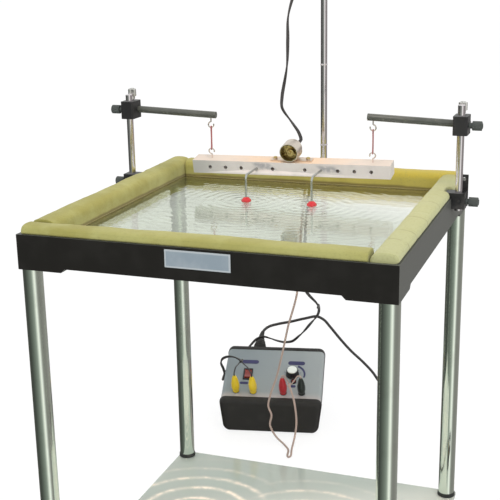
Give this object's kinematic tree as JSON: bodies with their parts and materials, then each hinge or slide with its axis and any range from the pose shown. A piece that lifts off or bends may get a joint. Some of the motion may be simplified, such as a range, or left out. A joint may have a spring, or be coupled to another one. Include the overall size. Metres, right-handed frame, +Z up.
{
  "type": "ripple tank",
  "caption": "Glass-bottomed ripple tank on tubular legs over a white screen, with foam beaches, a motor-driven wave beam with dippers, an overhead lamp and a bench control unit.",
  "frame": {"origin": "middle of the viewing board's underside, on the table", "axes": "+Z up, +X to the right and +Y away from the side with the blank plate, square to the tank's rails"},
  "size_m": [0.6677, 0.8772, 1.045],
  "materials": {
    "screen_white": "white gloss",
    "leg_chrome": "bright",
    "ferrule_rubber": "matt",
    "bright_steel": "bright turned",
    "frame_black": "satin",
    "glass_clear": "clear",
    "foam_yellow": "open-cell foam",
    "plate_grey": "blank",
    "clamp_black": "black oxide",
    "knob_grey": "knurled",
    "rod_chrome": "bright",
    "arm_grey": "satin dark grey",
    "band_red": "stretched",
    "beam_cream": "satin",
    "motor_plated": "plated",
    "motor_brass": "passivated",
    "saddle_steel": "plated",
    "ball_red": "gloss",
    "hood_black": "stove enamel",
    "bulb_glass": "clear",
    "case_grey": "satin",
    "bezel_dark": "satin",
    "panel_pale": "pale blue-grey",
    "rocker_red": "translucent",
    "dial_black": "moulded",
    "transformer_iron": "laminated",
    "plug_yellow": "soft moulded",
    "plug_red": "soft moulded",
    "lead_black": "matt",
    "lead_clear": "thin twin",
    "plug_black": "moulded"
  },
  "bodies": {
    "stand": {"screen_board": "screen_white", "legs": "leg_chrome", "leg_ferrules": "ferrule_rubber", "leg_studs": "bright_steel", "tank_frame": "frame_black", "glass_bottom": "glass_clear", "foam_front": "foam_yellow", "foam_right": "foam_yellow", "foam_rear": "foam_yellow", "foam_left": "foam_yellow", "blank_plate": "plate_grey", "left_clamp": "clamp_black", "right_clamp": "clamp_black", "rear_clamp": "clamp_black", "left_post": "rod_chrome", "right_post": "rod_chrome", "lamp_rod": "rod_chrome", "unit_case": "case_grey", "unit_bezels": "bezel_dark", "unit_panel": "panel_pale", "unit_transformer": "transformer_iron", "motor_plugs": "plug_yellow", "lamp_plugs": "plug_red", "motor_lead": "lead_black", "lamp_lead": "lead_clear", "mains_lead": "lead_black", "mains_coil": "lead_black", "mains_plug": "plug_black"},
    "left_clamp_thumb": {"left_clamp_screw": "knob_grey"},
    "right_clamp_thumb": {"right_clamp_screw": "knob_grey"},
    "rear_clamp_thumb": {"rear_clamp_screw": "knob_grey"},
    "left_hanger": {"left_boss": "clamp_black", "left_arm": "arm_grey", "left_hook": "rod_chrome", "left_band": "band_red", "right_band": "band_red"},
    "right_hanger": {"right_boss": "clamp_black", "right_arm": "arm_grey", "right_hook": "rod_chrome"},
    "left_boss_thumb": {"left_boss_screw": "knob_grey"},
    "right_boss_thumb": {"right_boss_screw": "knob_grey"},
    "left_arm_thumb": {"left_arm_screw": "bright_steel"},
    "right_arm_thumb": {"right_arm_screw": "bright_steel"},
    "wave_beam": {"beam": "beam_cream", "beam_hooks": "rod_chrome", "motor_can": "motor_plated", "motor_cap": "motor_brass", "motor_saddle": "saddle_steel"},
    "rotor": {"motor_shaft": "motor_brass"},
    "left_dip": {"left_dipper": "rod_chrome", "left_ball": "ball_red"},
    "right_dip": {"right_dipper": "rod_chrome", "right_ball": "ball_red"},
    "lamp": {"lamp_boss": "clamp_black", "lamp_arm": "arm_grey", "lamp_hood": "hood_black", "lamp_bulb": "bulb_glass"},
    "lamp_thumb": {"lamp_boss_screw": "knob_grey"},
    "dial": {"unit_dial": "dial_black"},
    "rocker": {"unit_rocker": "rocker_red"}
  },
  "joints": [
    {"name": "left_height", "type": "slide", "parent": "stand", "child": "left_hanger", "axis": [0, 0, 1], "range_m": [0, 0.015], "deforming": ["motor_lead"]},
    {"name": "right_height", "type": "slide", "parent": "stand", "child": "right_hanger", "axis": [0, 0, 1], "range_m": [0, 0.015]},
    {"name": "beam_bounce", "type": "slide", "parent": "left_hanger", "child": "wave_beam", "axis": [0, 0, 1], "range_m": [-0.002, 0.002], "stiffness_N_per_m": 1500, "springref_m": 0.00115, "deforming": ["left_band", "right_band", "motor_lead"]},
    {"name": "rotor_spin", "type": "hinge", "parent": "wave_beam", "child": "rotor", "pos_m": [0.00302, 0.1174, 0.5798], "axis": [-0.0033, 0.9848, 0.1736], "continuous": true},
    {"name": "left_dipper_turn", "type": "hinge", "parent": "wave_beam", "child": "left_dip", "pos_m": [-0.04749, 0.12179, 0.55396], "axis": [-0.0033, 0.9848, 0.1736], "range_deg": [-75, 75]},
    {"name": "right_dipper_turn", "type": "hinge", "parent": "wave_beam", "child": "right_dip", "pos_m": [0.05049, 0.12179, 0.55584], "axis": [-0.0033, 0.9848, 0.1736], "range_deg": [-75, 75]},
    {"name": "left_post_screw_turn", "type": "hinge", "parent": "left_hanger", "child": "left_boss_thumb", "pos_m": [-0.248, 0.106, 0.632], "axis": [1, 0, 0], "range_deg": [-180, 180]},
    {"name": "right_post_screw_turn", "type": "hinge", "parent": "right_hanger", "child": "right_boss_thumb", "pos_m": [0.248, 0.106, 0.627], "axis": [1, 0, 0], "range_deg": [-180, 180]},
    {"name": "left_arm_screw_turn", "type": "hinge", "parent": "left_hanger", "child": "left_arm_thumb", "pos_m": [-0.248, 0.1175, 0.65], "axis": [0, 0, 1], "range_deg": [-180, 180]},
    {"name": "right_arm_screw_turn", "type": "hinge", "parent": "right_hanger", "child": "right_arm_thumb", "pos_m": [0.248, 0.1175, 0.645], "axis": [0, 0, 1], "range_deg": [-180, 180]},
    {"name": "left_clamp_screw_turn", "type": "hinge", "parent": "stand", "child": "left_clamp_thumb", "pos_m": [-0.248, 0.106, 0.522], "axis": [1, 0, 0], "range_deg": [-180, 180]},
    {"name": "right_clamp_screw_turn", "type": "hinge", "parent": "stand", "child": "right_clamp_thumb", "pos_m": [0.248, 0.106, 0.522], "axis": [1, 0, 0], "range_deg": [-180, 180]},
    {"name": "rear_clamp_screw_turn", "type": "hinge", "parent": "stand", "child": "rear_clamp_thumb", "pos_m": [0.015, 0.248, 0.522], "axis": [0, 1, 0], "range_deg": [-180, 180]},
    {"name": "lamp_height", "type": "slide", "parent": "stand", "child": "lamp", "axis": [0, 0, 1], "range_m": [-0.12, 0], "deforming": ["lamp_lead"]},
    {"name": "lamp_screw_turn", "type": "hinge", "parent": "lamp", "child": "lamp_thumb", "pos_m": [0.015, 0.248, 1.005], "axis": [1, 0, 0], "range_deg": [-180, 180]},
    {"name": "dial_turn", "type": "hinge", "parent": "stand", "child": "dial", "pos_m": [-0.09842, 0.43403, 0.09195], "axis": [0.0905, -0.415, 0.9053], "range_deg": [-230, 50]},
    {"name": "rocker_tip", "type": "hinge", "parent": "stand", "child": "rocker", "pos_m": [-0.18006, 0.41416, 0.0899], "axis": [0.977, 0.213, 0], "range_deg": [-12, 12]}
  ],
  "couplings": [
    {"joint": "right_height", "follows": "left_height", "ratio": 1}
  ]
}
